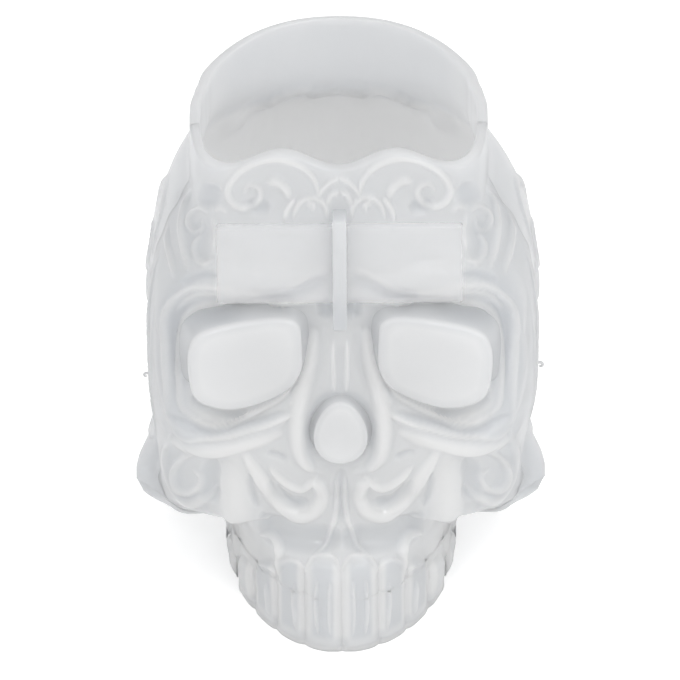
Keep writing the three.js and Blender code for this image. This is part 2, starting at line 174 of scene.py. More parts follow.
def oval_radius(turn, half_width, reach, squareness):
    """Radius of the squared oval |x/half_width|^n + |y/reach|^n = 1 in the direction turn."""
    across = np.abs(np.sin(turn) / half_width) ** squareness
    along = np.abs(np.cos(turn) / reach) ** squareness
    return (across + along) ** (-1 / squareness)


def bell(x, middle, width):
    """1 at the middle, and exp(-(distance / width)^2) away from it."""
    return np.exp(-((x - middle) / width) ** 2)


def cheek_rise(turn, z):
    """How much higher the cheek's lower edge runs in one direction than at the slit: the tangent of
    the camera's elevation times the way forward on a squared oval, fading out above the cheek."""
    y = AXIS_Y - oval_radius(turn, *CHEEK_OVAL) * np.cos(turn)
    return math.tan(ELEVATION) * np.maximum(PARTING_Y - y, 0) * (1 - step(z, *CHEEK_ENDS))


def skull_radius(turn, z):
    """Radius of the bare skull about its upright axis: a squared oval at each height, whose width
    changes from the face's to the back's around the slit, less a shallow bell-shaped valley along
    the slit, plus a bell-shaped swelling at each ear. The head leans: its left half width grows and
    its right one shrinks with the sine of the turn."""
    side = np.abs(turn)
    half_width = mix(face_half_width(z - cheek_rise(turn, z)), rear_half_width(z),
                     step(side, SLIT_TURN - SLIT_BLEND, SLIT_TURN + SLIT_BLEND))
    half_width = half_width + LEAN * np.sin(turn) * step(z, *LEAN_STARTS) * (1 - step(z, *LEAN_ENDS))
    ear = ear_swell(z) * bell(side, EAR_TURN, EAR_WIDTH)
    front = np.cos(turn) > 0
    reach = np.where(front, AXIS_Y - face_line(z), back_line(z) - AXIS_Y)
    squareness = np.where(front, face_squareness(z), REAR_SQUARENESS)
    valley = VALLEY_DEPTH * bell(side, SLIT_TURN, VALLEY_WIDTH)
    valley = valley * step(z, *VALLEY_STARTS) * (1 - step(z, *VALLEY_ENDS))
    return oval_radius(turn, half_width, reach, squareness) + ear - valley


COLLAR_HALF_WIDTH = 38.0
COLLAR_FRONT = 28.0
COLLAR_BACK = 54.0
COLLAR_FRONT_SQUARENESS = 7.0
COLLAR_SIDE_SQUARENESS = 1.38
COLLAR_BACK_SQUARENESS = 2.1
LIP_NARROWING = 1.2
LIP_NARROWING_RUN = 0.5
COLLAR_FLAT = 1.3
COLLAR_FLAT_TURN = math.radians(92)
COLLAR_FLAT_WIDTH = math.radians(9)
COLLAR_FOOT = 106.0
FOOT_LOBE_REACH = 24.0
FOOT_LOBE_RISE = 2.2
COLLAR_SINK = 12.0
COLLAR_SINK_RUN = 6.0
JOIN_ROUNDING = 2.5


def two_lobes(x, reach):
    """Two lobes side by side, sin^2 in x, and 0 past their reach."""
    return np.where(np.abs(x) < reach, np.sin(np.pi * x / reach) ** 2, 0)


def body_radius(turn, z):
    """The larger of the skull's radius and the collar's, rounded where they cross. The collar is
    nearly square in front, where it is a little narrower, and a blunt oval behind, with a shallow
    bell-shaped hollow after the slit. It sinks away below its foot, which has two lobes behind."""
    side = np.abs(turn)
    narrowing = 1 - step(side, SLIT_TURN - LIP_NARROWING_RUN, SLIT_TURN)
    half_width = COLLAR_HALF_WIDTH - LIP_NARROWING * narrowing
    behind = np.clip(side / (math.pi / 2) - 1, 0, 1)
    front = np.cos(turn) > 0
    reach = np.where(front, AXIS_Y + COLLAR_FRONT, COLLAR_BACK - AXIS_Y)
    back_squareness = mix(COLLAR_SIDE_SQUARENESS, COLLAR_BACK_SQUARENESS, behind)
    squareness = np.where(front, COLLAR_FRONT_SQUARENESS, back_squareness)
    collar = oval_radius(turn, half_width, reach, squareness)
    collar = collar - COLLAR_FLAT * bell(side, COLLAR_FLAT_TURN, COLLAR_FLAT_WIDTH)
    lobes = np.where(np.cos(turn) < 0, two_lobes(collar * np.sin(turn), FOOT_LOBE_REACH), 0)
    foot = COLLAR_FOOT + FOOT_LOBE_RISE * lobes
    collar = collar - COLLAR_SINK * (1 - step(z, foot - COLLAR_SINK_RUN, foot))
    skull = skull_radius(turn, z)
    near = np.maximum(JOIN_ROUNDING - np.abs(skull - collar), 0) / JOIN_ROUNDING
    return np.maximum(skull, collar) + near * near * JOIN_ROUNDING / 4


ROLL_STEPS = 9


def inner_radius(turn, z):
    """body_radius rolled inwards by a circle of the wall's thickness: the least, over the circle,
    of the radius at the height of a point on it less that point's reach."""
    least = np.full(np.broadcast(turn, z).shape, np.inf)
    for lift in np.linspace(-WALL, WALL, ROLL_STEPS):
        least = np.minimum(least, body_radius(turn, z + lift) - math.sqrt(WALL ** 2 - lift ** 2))
    return least


SOCKET_OUT = 25.2
SOCKET_UP = 86.0
SOCKET_INNER_EDGE = 12.0
SOCKET_FALL = 0.4
SOCKET_HALF_WIDTH = 14.0
SOCKET_HALF_HEIGHT = 10.0
SOCKET_WIDENING = 0.37
SOCKET_EDGE = (0.3, 1.2)


def socket_share(x, z, spread):
    """1 in an eye socket and 0 outside: a squared oval that falls and grows taller away from the
    nose."""
    out = np.abs(x)
    middle = SOCKET_UP - SOCKET_FALL * (out - SOCKET_INNER_EDGE)
    half = SOCKET_HALF_HEIGHT + SOCKET_WIDENING * (out - SOCKET_INNER_EDGE) + spread
    oval = ((out - SOCKET_OUT) / (SOCKET_HALF_WIDTH + spread)) ** 4 + ((z - middle) / half) ** 4
    return 1 - step(oval, *SOCKET_EDGE)


NOSE_UP = 62.5
NOSE_HALF_WIDTH = 8.4
NOSE_HALF_HEIGHT = 9.6
NOSE_TAPER = 0.16
NOSE_EDGE = (0.45, 1.2)


def nose_share(x, z, spread):
    """1 in the nose opening and 0 outside: an egg, narrower at the top."""
    up = (z - NOSE_UP) / (NOSE_HALF_HEIGHT + spread)
    across = x / ((NOSE_HALF_WIDTH + spread) * (1 - NOSE_TAPER * up))
    return 1 - step(across ** 2 + up ** 2, *NOSE_EDGE)


JAW_SIDE = (17, 24)
JAW_STARTS, JAW_ENDS = (24, 30), (40, 47)


def jaw_share(x, z):
    """1 in the hollow over the teeth and 0 outside."""
    return (1 - step(np.abs(x), *JAW_SIDE)) * step(z, *JAW_STARTS) * (1 - step(z, *JAW_ENDS))


SOCKET_DEPTH = 4.6
SOCKET_SHALLOWING = 0.35
SOCKET_SHALLOWS = (24, 40)
NOSE_DEPTH = 2.2
JAW_DEPTH = 2.4
HOLLOWS_END = (math.radians(52), math.radians(62))


def hollow_depth(turn, x, z, spread):
    """How far the sockets, the nose and the jaw's hollow move the skin back, away from the front.
    The sockets get shallower outwards."""
    socket_depth = SOCKET_DEPTH * (1 - SOCKET_SHALLOWING * step(np.abs(x), *SOCKET_SHALLOWS))
    share = 1 - step(np.abs(turn), *HOLLOWS_END)
    return share * (socket_depth * socket_share(x, z, spread) + NOSE_DEPTH * nose_share(x, z, spread)
                    + JAW_DEPTH * jaw_share(x, z))


# Broad forms of the face, as lines of (x, z) with a half width and a height, mirrored
BROAD_FORMS = [
    ("brow", 4.4, 1.7, [(0, 97), (9, 99.5), (20, 102), (31, 100.5), (39, 96), (43.5, 88), (45, 79)]),
    ("orbit", 3.6, 1.2, [(44.5, 84), (44.5, 70), (41, 60), (34, 56), (25, 60), (16, 67), (11, 74)]),
    ("side of the nose", 3, 0.9, [(4.6, 88), (6.6, 80), (9.8, 71), (11, 62), (9.4, 54), (4, 50)]),
    ("jaw column", 4, 0.9, [(29, 52), (28, 42), (27, 31)]),
    ("cheek", 4, 1.2, [(45, 54), (44, 44), (41, 35), (35, 32)]),
]

# Relief of the face as lines on the drawing: (across, up) in millimetres, as the camera sees the
# face, with a half width and a height in millimetres. Up is 0 at the foot of the front teeth, lines
# are mirrored, and a height below 0 is a hollow, where the skin is thinner and clearer.
FACE_LINES = [
    ("brow, upper edge", 1.0, 1.1, [(2.3, 97.9), (5.9, 96.6), (10.6, 94.1), (16.2, 91.2), (22.9, 91.5),
     (30.2, 92.8), (35.8, 92.8), (39.2, 91.2), (42, 88.4), (43.6, 84), (43.8, 77.8), (43.3, 68.8),
     (43, 60.3)]),
    ("brow, middle bead", 0.8, 0.8, [(22.9, 89.9), (30.2, 91.2), (35.3, 91.2), (38.1, 89.9), (40.5, 87.4)]),
    ("brow, lower edge", 1.1, 1.2, [(5.9, 89.7), (11.3, 88.9), (20.4, 88.4), (30.2, 88.6), (35.3, 88.4),
     (38.1, 86.6), (39.9, 82.5), (40.7, 77.3), (40.7, 68.8), (40.2, 62.9), (38.1, 60)]),
    ("upper lid", 0.9, 0.9, [(11.1, 77.3), (11.9, 81.9), (14.4, 85.3), (18.8, 86.8), (23.5, 87.4),
     (28.1, 86.1), (33.2, 85), (36.6, 83), (38.1, 79.1)]),
    ("lower lid and its curl", 0.8, 1.1, [(39.4, 61.6), (36.9, 59.3), (33.2, 58), (29.4, 58), (25, 59.5),
     (20.4, 61.6), (16.2, 63.9), (13.9, 65.7), (12.4, 68), (10.3, 69.3), (8.8, 68), (8.8, 65.2),
     (10.3, 62.1), (13.7, 59.8), (18.3, 58.2), (23.5, 56.7), (28.6, 55.1), (33.8, 54.4), (38.7, 54.6),
     (42.8, 56.7)]),
    ("curl's kernel", 0.8, 0.8, [(10.3, 67.3), (11.1, 64.9), (12.9, 62.9)]),
    ("cheekbone", 2.0, 1.3, [(15.2, 55.7), (22.9, 53.1), (31.2, 51.5), (38.4, 52.1), (43, 54.4)]),
    ("bridge", 0.7, 0.8, [(1.7, 78.9), (1.7, 72.2), (1.5, 66)]),
    ("scroll's leaf", 1.1, 1.3, [(18, 46.9), (15.7, 44.3), (12.9, 42.3), (10.1, 41.5), (7.7, 42.8),
     (6.2, 44.6)]),
    ("scroll's inner bead", 0.8, 0.9, [(17.3, 43.8), (16, 40.5), (13.4, 37.4), (10.3, 36.1), (7.2, 36.9),
     (5.2, 39.2), (4.9, 41.7), (6.4, 43)]),
    ("lip's middle", 0.8, 1.0, [(1, 44.3), (1, 38.7), (1.5, 34), (2.8, 30.4), (4.1, 27.1), (6.7, 24.7)]),
    ("strut", 1.2, 1.4, [(20.6, 29.6), (18, 29.1), (16.2, 26.8), (15.7, 23.5), (16.2, 20.1)]),
    ("cheek curl", 0.9, 1.1, [(34.3, 50.5), (38.1, 50.5), (41, 48.4), (42, 45.1), (41, 42), (38.4, 40.7),
     (36.1, 42.3), (35.8, 44.8), (37.6, 46.1)]),
    ("cheek rim", 1.3, 1.2, [(43, 55.7), (44.1, 50), (44.1, 44.3), (42.3, 40.2), (38.4, 38.1), (34.3, 39.2),
     (32, 42.3)]),
    ("gum over the first tooth", 0.7, 0.8, [(0.3, 20.6), (1.8, 23.5), (4.4, 24.5), (7.2, 23.7), (9, 20.9)]),
    ("gum over the second tooth", 0.7, 0.8, [(9, 20.1), (10.8, 22.2), (13.4, 22.9), (15.5, 21.6),
     (16.2, 19.1)]),
    ("gum over the third tooth", 0.7, 0.7, [(16.2, 19.3), (18, 20.9), (20.6, 21.9), (22.4, 23.7)]),
    ("gum over the fourth tooth", 0.7, 0.7, [(22.4, 22.4), (24.5, 23.7), (26.5, 24.7)]),
    # The streaks on the teeth are beads laid where highlights fall, and the milk of raised lines makes them
    # painted highlights as well.
    ("streak on the first tooth", 0.45, 1.2, [(2.9, 3.6), (3.2, 10), (3, 17.5)]),
    ("second streak on the first tooth", 0.45, 1.2, [(6, 4.2), (6.6, 11), (6.2, 18)]),
    ("streak on the second tooth", 0.45, 1.1, [(11.6, 5), (12.2, 12), (12, 17)]),
    ("streak on the third tooth", 0.45, 1.1, [(18.6, 9), (19.2, 17)]),
    ("crown scroll", 1.0, 1.2, [(5.2, 115.7), (5.9, 119.1), (8.2, 122.1), (11.9, 124.2), (16, 125),
     (20.6, 124.2), (25, 121.9), (27.8, 118.3), (27.6, 114.9), (25, 112.9), (21.6, 113.4), (19.8, 115.7),
     (20.6, 118), (22.9, 118.5), (24.2, 116.7)]),
    ("crown leaf", 1.3, 1.1, [(12.6, 115.2), (13.4, 117.3), (15.7, 119.1), (18.3, 119.3)]),
    ("palmette", 0.8, 1.0, [(0, 120.1), (2.1, 119.1), (4.1, 117.3), (5.4, 115.2)]),
    ("palmette, lower", 0.8, 0.9, [(0, 116.7), (2.1, 115.7), (3.1, 113.4)]),
    ("rosette", 0.8, 1.0, [(3.1, 110.3), (3.6, 113.1), (5.7, 114.9), (8.2, 114.9), (10.3, 113.4),
     (11.6, 110.3)]),
    ("rosette's kernel", 0.8, 0.9, [(6.4, 112.1), (6.7, 113.6), (8.2, 113.6)]),
    ("leaf beside the rosette", 0.9, 1.1, [(11.3, 114.9), (12.9, 112.6), (13.9, 109.8)]),
    ("temple, long line", 0.9, 1.0, [(36.9, 118.3), (39.2, 114.9), (40.2, 110.3), (40.2, 105.7),
     (39.2, 101), (37.6, 97.2)]),
    ("temple, outer line", 0.9, 1.0, [(41.5, 116.7), (43.6, 111.8), (44.1, 106.7), (43, 100.5),
     (41, 95.3)]),
    ("temple curl", 0.8, 0.9, [(33.2, 111.6), (35, 112.9), (37.4, 111.8), (38.4, 109.3), (37.1, 106.9),
     (35, 107.7), (34.8, 109.8)]),
    ("temple leaf", 0.9, 0.9, [(35.6, 106.2), (37.1, 103.6), (36.6, 100.5), (34.3, 98.7), (31.7, 99.5)]),
    ("temple, inner line", 0.7, 0.8, [(32, 110.8), (31.4, 106.2), (32, 101.5)]),
    ("corner arcs", 0.7, 0.8, [(28.6, 111.6), (29.9, 112.9), (31.4, 112.1)]),
    ("jaw column", 4.6, 1.0, [(26.5, 50.5), (26.5, 44.3), (26.8, 37.9), (26.5, 31.4), (25, 25.8),
     (22.4, 20.2)]),
    ("jaw column, lower part", 4.0, 1.3, [(28.5, 35.5), (27.5, 31.5), (26.5, 26), (25, 20), (23.5, 14)]),
    ("nose flank", 2.4, 1.3, [(6.4, 81.7), (7.5, 75.2), (9, 68.8), (10.6, 62.4), (11.1, 55.9), (10.1, 50),
     (7.5, 46.4)]),
    ("scroll under the nose", 2.1, 1.8, [(24.7, 50.8), (20.6, 44.3), (17, 39.2), (13.1, 35.6), (9.8, 34.3),
     (6.4, 35.8), (4.9, 39.2), (5.9, 42.3), (8.2, 43.3)]),
    # This bead on the lid is laid where a highlight falls, and the milk of raised lines makes it a painted
    # highlight as well.
    ("lid's painted highlight", 1.3, 0.8, [(20.4, 86.1), (23.5, 87.6), (27.1, 85.6)]),
    ("clear crescent under the foot", 1.6, -1.3, [(37.6, 64.9), (35.8, 62.9), (32.5, 61.6), (28.1, 60.8),
     (23.7, 61.3)]),
    ("clear crescent under the lower lid", 1.4, -1.2, [(42, 60.3), (38.9, 58), (34.5, 56.2), (29.4, 56.2),
     (24.2, 57.5), (19.1, 59.3), (14.4, 61.3)]),
    ("hollow of the cheek", 3.0, -1.5, [(32.2, 48.7), (33.2, 44.8), (33.2, 41.2), (32, 38.4)]),
    ("hollow over the gums", 4.3, -1.7, [(0, 28.9), (6.2, 28.3), (12.6, 28.9), (17.3, 31.4), (19.8, 34.3)]),
    ("hollow inside the scroll", 1.8, -1.3, [(8.5, 38.1), (12.6, 37.9), (16, 40.2), (18.3, 43.3)]),
    ("slot beside the scroll", 1.1, -1.1, [(23.2, 45.4), (22.7, 41.2), (21.1, 36.9)]),
    ("pit over the scroll", 0.9, -1.0, [(13.7, 49), (16.2, 50.3), (18.8, 50.8)]),
    ("groove under the nose", 2.6, -0.9, [(0, 45.9), (0, 40.5), (0, 33.5)]),
    ("moat round the nose foot", 1.8, -0.6, [(0, 65.7), (4.1, 64.2), (7, 60), (8.5, 54.6), (8.2, 50),
     (6.4, 47.4)]),
    ("hollow of the bridge", 3.0, -0.4, [(0, 77.3), (0, 71.4), (0, 66.5)]),
    ("hollow beside the keel", 2.3, -1.5, [(3.6, 89.7), (3.6, 87.4), (3.4, 85)]),
    ("hollow under the brow", 2.1, -1.7, [(3.4, 94.6), (7, 93.5), (11.6, 92), (15.7, 91), (20.4, 90.5)]),
    ("hollow over the lid", 1.9, -1.5, [(28.1, 85.8), (31.4, 85), (34.8, 83.5), (36.6, 81.9)]),
    ("hollow beside the crown scroll", 3.4, -1.2, [(31.2, 118.3), (32.7, 115.7), (33.2, 113.4)]),
    ("hollow of the temple", 3.4, -0.8, [(35.3, 109.3), (36.1, 104.1), (34.8, 99)]),
    ("hollow over the brow", 1.3, -1.0, [(30.4, 95.9), (34.3, 95.9), (38.7, 94.3)]),
    ("dark leaf on the crown", 2.0, -0.9, [(17.8, 113.1), (20.9, 112.9), (23.5, 114.2)]),
]

# Relief of the sides, as lines of (y, z), and of the back, as lines of (x, z), mirrored
SIDE_LINES = [
    ("line before the slit", 1.0, 0.6, [(-11, 106), (-9, 92), (-10, 76), (-9, 58), (-10, 42)]),
    ("line at the temple", 1.2, 0.5, [(-19, 100), (-17, 88), (-18, 74), (-16, 60)]),
    ("upper scroll", 1.5, 0.8, [(3, 88), (8, 97), (18, 100), (28, 94), (31, 84), (26, 76), (17, 76),
     (13, 83), (18, 88), (23, 85)]),
    ("upper leaf", 1.9, 0.6, [(5, 84), (8, 74), (15, 68)]),
    ("lower scroll", 1.5, 0.8, [(2, 62), (8, 52), (20, 46), (33, 49), (39, 59), (36, 69), (28, 71),
     (23, 65), (26, 59), (31, 61)]),
    ("lower leaf", 1.9, 0.6, [(6, 46), (16, 39), (28, 38)]),
    ("jaw line", 1.3, 0.6, [(3, 34), (12, 31), (24, 31), (36, 36)]),
]
BACK_LINES = [
    ("lobed edge of the crown", 1.5, 0.8, [(0, 95), (5, 98.5), (12, 100.5), (19, 97.5), (24, 91)]),
    ("crown scroll", 1.4, 0.8, [(3, 88), (9, 92), (17, 90), (21, 82), (17, 75), (10, 76), (8, 82), (12, 85),
     (15, 82)]),
    ("leaf", 1.8, 0.7, [(0, 84), (4, 76), (3, 66), (0, 60)]),
    ("lower scroll", 1.4, 0.8, [(3, 52), (11, 47), (21, 50), (26, 59), (23, 67), (15, 67), (12, 60),
     (16, 56), (19, 59)]),
    ("lower leaf", 1.8, 0.6, [(2, 44), (10, 37), (20, 38)]),
    ("boss", 4.2, -2.4, [(27, 97), (27.4, 102), (27.3, 106.5)]),
    ("ridge at the collar's foot", 1.7, -3.4, [(0, 107.4), (5, 107.3), (10.6, 108.8), (15.2, 107.8),
     (19.5, 105.2), (25, 104.8)]),
]


def through(points, spacing=0.5):
    """Points about spacing apart on a Catmull-Rom curve through the given ones."""
    p = np.array(points, float)
    p = np.vstack([2 * p[0] - p[1], p, 2 * p[-1] - p[-2]])
    pieces = []
    for a, b, c, d in zip(p[:-3], p[1:-2], p[2:-1], p[3:]):
        t = np.linspace(0, 1, max(2, int(np.linalg.norm(c - b) / spacing) + 1), endpoint=False)[:, None]
        pieces.append(0.5 * (2 * b + (c - a) * t + (2 * a - 5 * b + 4 * c - d) * t ** 2
                             + (3 * b - a - 3 * c + d) * t ** 3))
    return np.vstack(pieces + [p[-2:-1]])


LINE_END_SIZE = 0.35
LINE_END_PARTS = 5


def line_height(u, v, lines, roundness):
    """Height of the lines' relief over each point (u, v): height * (1 - (distance / half)^2)^roundness
    at the nearest point of a line, the highest of the raised lines plus the deepest of the hollows.
    Over the last fifth towards each end a line narrows to a third of its size."""
    raised, sunk = np.zeros(u.shape), np.zeros(u.shape)
    for _, half, height, line in lines:
        curve = through(line)
        low, high = curve.min(0) - half, curve.max(0) + half
        near = (u > low[0]) & (u < high[0]) & (v > low[1]) & (v < high[1])
        points = np.stack([u[near], v[near]], -1)
        start, along = curve[:-1], np.diff(curve, axis=0)
        offset = points[:, None] - start
        t = np.clip((offset * along).sum(-1) / (along ** 2).sum(1), 0, 1)
        distance = np.sqrt(((offset - t[..., None] * along) ** 2).sum(-1))
        nearest = distance.argmin(1)
        rows = np.arange(len(points))
        share = (nearest + t[rows, nearest]) / len(start)
        from_end = np.minimum(share, 1 - share) * LINE_END_PARTS
        size = LINE_END_SIZE + (1 - LINE_END_SIZE) * np.clip(from_end, 0, 1) ** 0.5
        inside = np.clip(1 - (distance[rows, nearest] / (half * size)) ** 2, 0, None)
        here = height * size * inside ** roundness
        raised[near] = np.maximum(raised[near], here)
        sunk[near] = np.minimum(sunk[near], here)
    return raised + sunk


TOOTH_WIDTHS = [10, 10, 11.6, 12.4, 12.4]
TOOTH_EDGES = np.concatenate([[0], np.cumsum(TOOTH_WIDTHS)])
TOOTH_SWELL = 1.5
TOOTH_FOOT = (0, 2.4)
FOOT_SWELL_SHARE = 0.6
GUM_AT_SLIT, GUM_IN_FRONT = 11.0, 26.5
GUM_RISES = (16, 50)
GUM_ARCH = 2.5
FADE_UNDER_GUM, FADE_OVER_GUM = 2.0, 0.6
GAP_MILK = 0.34
WINDOW_CLEARING = 0.8
WINDOW_EDGE = (0.4, 0.75)
TOOTH_MILK_STARTS = (2.5, 5)
FLANGE = 0.6
FLANGE_ENDS = (0.8, 1.5)
FLANGE_MILK = 0.5

# Directions round the jaw, and the way along the jaw from the middle to each of them
JAW_TURNS = np.linspace(0, math.pi / 2, 241)
JAW_HEIGHT = 10.0
jaw_radius = skull_radius(JAW_TURNS, JAW_HEIGHT)
JAW_LENGTHS = np.concatenate([[0], np.cumsum(np.hypot(
    np.diff(jaw_radius), (jaw_radius[1:] + jaw_radius[:-1]) / 2 * np.diff(JAW_TURNS)))])


def teeth(turn, y, z):
    """Swelling of the crowns, 1 - across^4 over each tooth's width, measured along the jaw, from the
    base up to a gum line that arches over the tooth and rises towards the front, with a thin flange
    round their foot. Also how milky the skin is there: clear over the middle of a tooth, and white
    where it fills the gap between two and on the flange."""
    length = np.interp(np.abs(turn), JAW_TURNS, JAW_LENGTHS)
    on_jaw = length < TOOTH_EDGES[-1]
    tooth = np.clip(np.searchsorted(TOOTH_EDGES, length, side="right") - 1, 0, len(TOOTH_WIDTHS) - 1)
    width = np.array(TOOTH_WIDTHS)[tooth]
    across = np.clip((length - TOOTH_EDGES[tooth]) / (width / 2) - 1, -1, 1)
    gum = mix(GUM_AT_SLIT, GUM_IN_FRONT, step(-y, *GUM_RISES)) - GUM_ARCH * across ** 2
    crown = mix(FOOT_SWELL_SHARE, 1, step(z, *TOOTH_FOOT))
    crown = crown * (1 - step(z, gum - FADE_UNDER_GUM, gum + FADE_OVER_GUM)) * on_jaw
    window = 1 - step(np.abs(across), *WINDOW_EDGE)
    milk = crown * (GAP_MILK - WINDOW_CLEARING * window) * step(z, *TOOTH_MILK_STARTS)
    flange = FLANGE * (1 - step(z, *FLANGE_ENDS)) * on_jaw
    return TOOTH_SWELL * crown * (1 - across ** 4) + flange, milk + FLANGE_MILK * flange


RIM_LOBE_REACH = 31.0
RIM_LOBE_RISE = 5.0
RIM_LOBES_END = (0.3, 0.7)


def rim_lift(turn):
    """Extra height of the rim: two lobes, sin^2 in x, on the front lip."""
    x = body_radius(turn, RIM_HEIGHT) * np.sin(turn)
    return RIM_LOBE_RISE * two_lobes(x, RIM_LOBE_REACH) * step(np.cos(turn), *RIM_LOBES_END)


WAVE_HEIGHT = 0.7
WAVE_PITCH = 9.0
WAVE_CREST = 19.5
WAVE_STARTS = (13, 18)


def slit_wave(z):
    """The wavy cut: a cosine in z, which starts above the arch under the base."""
    return WAVE_HEIGHT * np.cos(np.pi * (z - WAVE_CREST) / (WAVE_PITCH / 2)) * step(z, *WAVE_STARTS)


def halve(low, high, times, falls_short):
    """The turn up to which falls_short is true, by halving the range from low to high."""
    for _ in range(times):
        middle = (low + high) / 2
        short = falls_short(middle)
        low, high = np.where(short, middle, low), np.where(short, high, middle)
    return middle


def slit_turn(radius, z, parting_y):
    """The direction in which radius(turn, z) meets the parting line at each height."""
    return halve(np.full(z.shape, 0.6), np.full(z.shape, 2.2), 41,
                 lambda turn: AXIS_Y - radius(turn, z) * np.cos(turn) < parting_y)


ARCH_RISE = 7.0
ARCH_FRONT = -20.0
ARCH_BACK = 12.0
ARCH_SHOULDER = 0.3


def arch_height(y, grow):
    """Height of the arch under the base, or of the floor over it when grown by the floor."""
    front, back = ARCH_FRONT - grow, ARCH_BACK + grow
    shoulder = (back - front) * ARCH_SHOULDER
    return (ARCH_RISE + grow) * step(y, front, front + shoulder) * (1 - step(y, back - shoulder, back))


def grid_normals(points):
    """Unit normals of a grid of points, from the cross product of its two directions."""
    across = np.gradient(points, axis=0)
    along = np.gradient(points, axis=1)
    normal = np.cross(across, along)
    return normal / np.maximum(np.linalg.norm(normal, axis=-1, keepdims=True), 1e-9)


DRAWING_FOOT = 24.0
FINE_HEIGHT = 0.95
BROAD_ROUNDNESS = 1.6
FACE_ROUNDNESS = 1.1
SIDE_ROUNDNESS = 1.3
FACE_FACING, FACE_STARTS = (0.08, 0.3), (4, 10)
SIDE_FACING, SIDE_STARTS = (0.6, 0.85), (12, 22)
BACK_FACING = (0.45, 0.7)


def relief(points, normals):
    """Height of the relief over a grid of drawn points, from the drawings of the face, the sides and
    the back, each faded out where the skin turns away from it, and the part of it that is fine work."""
    x, y, z = np.moveaxis(points, -1, 0)
    across = np.abs(x)
    up = z * math.cos(ELEVATION) + y * math.sin(ELEVATION) + DRAWING_FOOT
    on_face = step(normals @ TOWARDS_CAMERA, *FACE_FACING) * step(-y, *FACE_STARTS)
    on_side = step(np.abs(normals[..., 0]), *SIDE_FACING) * (1 - on_face) * step(z, *SIDE_STARTS)
    on_back = step(normals[..., 1], *BACK_FACING)
    broad = on_face * line_height(across, z, BROAD_FORMS, BROAD_ROUNDNESS)
    fine = FINE_HEIGHT * on_face * line_height(across, up, FACE_LINES, FACE_ROUNDNESS)
    fine = fine + on_side * line_height(y, z, SIDE_LINES, SIDE_ROUNDNESS)
    fine = fine + on_back * line_height(across, z, BACK_LINES, SIDE_ROUNDNESS)
    return broad + fine, fine


def row_levels(*stops):
    """Heights of the rows, even between each pair of stops (from, to, count)."""
    return np.concatenate([np.linspace(a, b, n, endpoint=False) for a, b, n in stops])


SLIT_GAP = 0.12
CHEEK_SLIT_GAP = 0.5
CHEEK_SLIT_STARTS, CHEEK_SLIT_ENDS = (15, 20), (30, 44)
ARCH_MEASURED_AT = 2.0
LIP_FOOT = 112.0
HOLLOW_SPREAD = 0.8 * WALL
INNER_RELIEF = 0.6
RIM_ROWS = 6
RIM_CROWN = 0.7
RIM_BLUNTNESS = 0.6
FLOOR_ROWS = 12

# How milky the skin looks, from 0 to 1: plain skin, and what relief adds to it, with painted light
# added in the sockets and the head's inside, and painted shade that takes milk away on the sides and
# on the plain back of the collar, leaving them clearer and darker
PLAIN_MILK = 0.5
RELIEF_MILK = 0.42
SOCKET_PAINTED_LIGHT = 0.5
CAVITY_PAINTED_LIGHT = 0.5
INNER_RELIEF_MILK = 0.2
SIDE_PAINTED_SHADE = 0.42
COLLAR_PAINTED_SHADE = 0.2
SIDES_START = (27, 45)
CAVITY_ENDS = (103, 108)
COLLAR_STARTS, COLLAR_PLAIN_SIDE = (104, 108), (26, 33)


